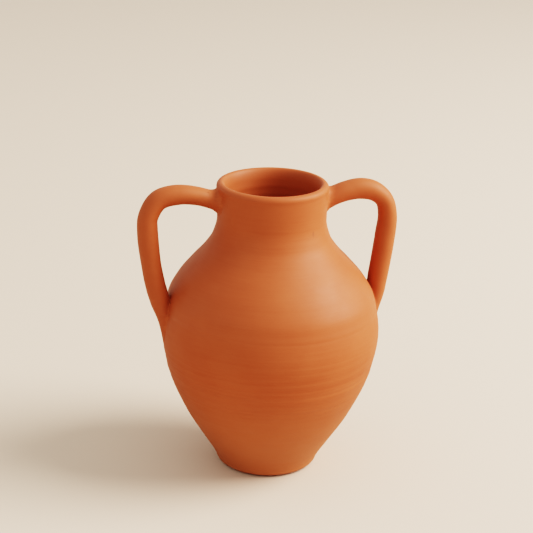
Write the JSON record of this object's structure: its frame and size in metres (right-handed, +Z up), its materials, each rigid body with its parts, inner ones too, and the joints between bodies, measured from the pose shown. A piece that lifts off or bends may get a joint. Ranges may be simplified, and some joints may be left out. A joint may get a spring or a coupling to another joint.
{
  "type": "amphora",
  "caption": "Two-handled terracotta amphora with a round belly, short neck, rolled lip and plain flat foot.",
  "frame": {"origin": "centre of the flat underside of the foot, on the vessel's axis", "axes": "+Z up along the vessel's axis; the two handles reach along -X (left) and +X (right); the picture looks roughly along +Y"},
  "size_m": [0.2646, 0.2202, 0.3005],
  "materials": {
    "terracotta": "unglazed, smoothed, fine throwing lines",
    "terracotta_handles": "unglazed, pulled and wiped smooth",
    "terracotta_luting": "unglazed, finger smeared"
  },
  "bodies": {
    "root": {"foot": "terracotta", "lower_belly": "terracotta", "upper_belly": "terracotta", "neck": "terracotta", "left_handle": "terracotta_handles", "right_handle": "terracotta_handles", "left_neck_luting": "terracotta_luting", "right_neck_luting": "terracotta_luting", "left_shoulder_luting": "terracotta_luting", "right_shoulder_luting": "terracotta_luting"}
  },
  "joints": []
}
